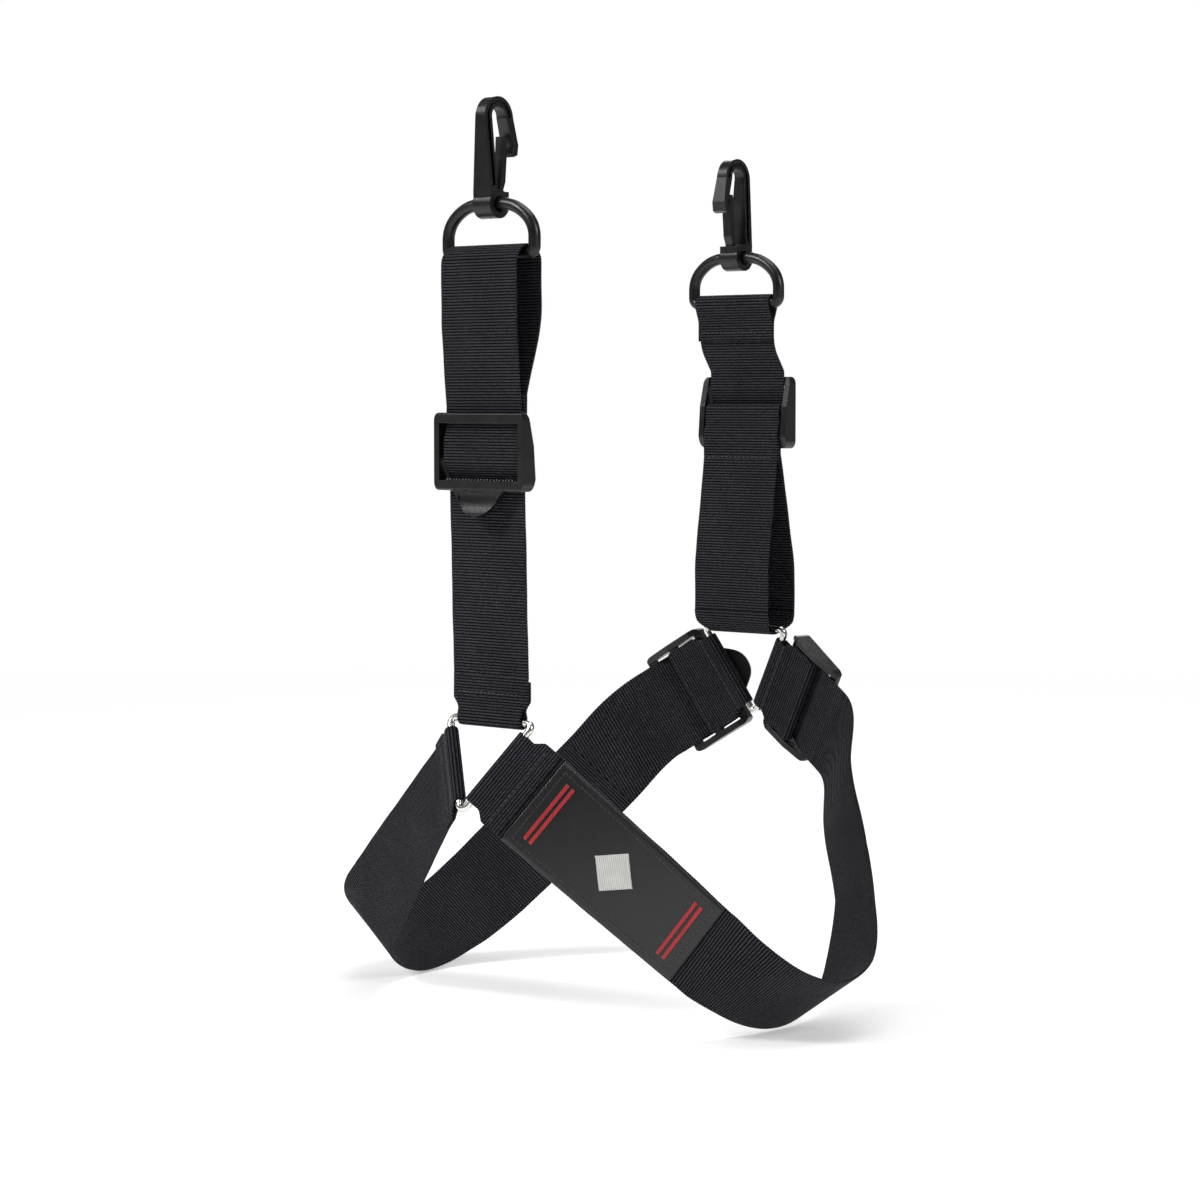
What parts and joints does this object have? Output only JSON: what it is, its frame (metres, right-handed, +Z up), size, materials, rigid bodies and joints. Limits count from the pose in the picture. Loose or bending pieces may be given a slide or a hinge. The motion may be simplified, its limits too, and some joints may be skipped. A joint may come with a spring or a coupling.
{
  "type": "webbing harness",
  "caption": "Webbing harness with front and rear adjustable straps on snap hooks, two wire triangle rings and two adjustable leg loops",
  "frame": {"origin": "centre of the curved seat inside the crown of the front snap hook, at the middle of its width", "axes": "X across the harness to the wearer's right-hand label side, Y from the front strap to the rear strap, Z up along the hanging straps"},
  "size_m": [0.3182, 0.2411, 0.4521],
  "materials": {
    "webbing": "black ribbed nylon webbing",
    "moulded_plastic": "black moulded plastic, fine satin grain",
    "ring_metal": "bright nickel-plated wire",
    "sewing_thread": "black bonded thread",
    "label_cloth": "black satin-woven label",
    "label_embroidery": "red and pale grey embroidery thread"
  },
  "bodies": {
    "lower_harness": {"front_ring": "ring_metal", "rear_ring": "ring_metal", "right_leg_strap": "webbing", "left_leg_strap": "webbing", "label_patch": "label_cloth", "label_border_stitching": "sewing_thread", "label_motif": "label_embroidery", "right_leg_ring_stitching": "sewing_thread", "left_leg_ring_stitching": "sewing_thread"},
    "right_leg_slider_set": {"right_leg_slider": "moulded_plastic", "right_leg_slider_stitching": "sewing_thread"},
    "left_leg_slider_set": {"left_leg_slider": "moulded_plastic", "left_leg_slider_stitching": "sewing_thread"},
    "front_fold": {"front_ring_stitching": "sewing_thread"},
    "front_slider_set": {"front_slider": "moulded_plastic", "front_slider_stitching": "sewing_thread"},
    "front_loop": {"front_strap": "webbing"},
    "front_d_ring_body": {"front_d_ring": "moulded_plastic"},
    "front_hook_body": {"front_hook": "moulded_plastic"},
    "front_gate_body": {"front_hook_gate": "moulded_plastic"},
    "rear_loop": {"rear_strap": "webbing"},
    "rear_slider_set": {"rear_slider": "moulded_plastic", "rear_slider_stitching": "sewing_thread"},
    "rear_fold": {"rear_d_ring_stitching": "sewing_thread"},
    "rear_d_ring_body": {"rear_d_ring": "moulded_plastic"},
    "rear_hook_body": {"rear_hook": "moulded_plastic"},
    "rear_gate_body": {"rear_hook_gate": "moulded_plastic"}
  },
  "joints": [
    {"name": "right_leg_slider_slide", "type": "slide", "parent": "lower_harness", "child": "right_leg_slider_set", "axis": [0.8188, -0.2294, -0.5262], "range_m": [0, 0.02], "stiffness_N_per_m": 2000, "deforming": ["right_leg_strap"]},
    {"name": "left_leg_slider_slide", "type": "slide", "parent": "lower_harness", "child": "left_leg_slider_set", "axis": [-0.8188, -0.2294, -0.5262], "range_m": [0, 0.02], "stiffness_N_per_m": 2000, "deforming": ["left_leg_strap"]},
    {"name": "front_strap_swing", "type": "hinge", "parent": "lower_harness", "child": "front_fold", "pos_m": [0, -0.0025, -0.2933], "axis": [1, 0, 0], "range_deg": [-10, 50], "stiffness_Nm_per_rad": 0.5},
    {"name": "front_slider_slide", "type": "slide", "parent": "front_fold", "child": "front_slider_set", "axis": [0, 0, 1], "range_m": [-0.07, 0.04], "stiffness_N_per_m": 2000, "deforming": ["front_strap"]},
    {"name": "front_loop_slide", "type": "slide", "parent": "front_slider_set", "child": "front_loop", "axis": [0, 0, 1], "range_m": [-0.021, 0.036], "stiffness_N_per_m": 2000, "deforming": ["front_strap"]},
    {"name": "front_d_ring_swing", "type": "hinge", "parent": "front_loop", "child": "front_d_ring_body", "pos_m": [0, -0.0025, -0.066], "axis": [1, 0, 0], "range_deg": [-60, 60], "stiffness_Nm_per_rad": 0.1},
    {"name": "front_hook_swing", "type": "hinge", "parent": "front_d_ring_body", "child": "front_hook_body", "pos_m": [0, -0.0025, -0.042], "axis": [1, 0, 0], "range_deg": [-60, 60], "stiffness_Nm_per_rad": 0.06},
    {"name": "front_gate_flex", "type": "hinge", "parent": "front_hook_body", "child": "front_gate_body", "pos_m": [0, 0.0026, -0.0348], "axis": [1, 0, 0], "range_deg": [0, 15], "stiffness_Nm_per_rad": 0.06},
    {"name": "rear_strap_swing", "type": "hinge", "parent": "lower_harness", "child": "rear_loop", "pos_m": [0, 0.1965, -0.2583], "axis": [1, 0, 0], "range_deg": [-50, 10], "stiffness_Nm_per_rad": 0.5},
    {"name": "rear_slider_slide", "type": "slide", "parent": "rear_loop", "child": "rear_slider_set", "axis": [0, 0, 1], "range_m": [-0.05, 0.012], "stiffness_N_per_m": 2000, "deforming": ["rear_strap"]},
    {"name": "rear_fold_slide", "type": "slide", "parent": "rear_slider_set", "child": "rear_fold", "axis": [0, 0, 1], "range_m": [-0.025, 0.101], "stiffness_N_per_m": 2000, "deforming": ["rear_strap"]},
    {"name": "rear_d_ring_swing", "type": "hinge", "parent": "rear_fold", "child": "rear_d_ring_body", "pos_m": [0, 0.1885, -0.0853], "axis": [1, 0, 0], "range_deg": [-60, 60], "stiffness_Nm_per_rad": 0.1},
    {"name": "rear_hook_swing", "type": "hinge", "parent": "rear_d_ring_body", "child": "rear_hook_body", "pos_m": [0, 0.1885, -0.0613], "axis": [1, 0, 0], "range_deg": [-60, 60], "stiffness_Nm_per_rad": 0.06},
    {"name": "rear_gate_flex", "type": "hinge", "parent": "rear_hook_body", "child": "rear_gate_body", "pos_m": [0, 0.1834, -0.0541], "axis": [-1, 0, 0], "range_deg": [0, 15], "stiffness_Nm_per_rad": 0.06}
  ],
  "couplings": [
    {"joint": "front_loop_slide", "follows": "front_slider_slide", "ratio": -0.5},
    {"joint": "rear_fold_slide", "follows": "rear_slider_slide", "ratio": -2}
  ]
}
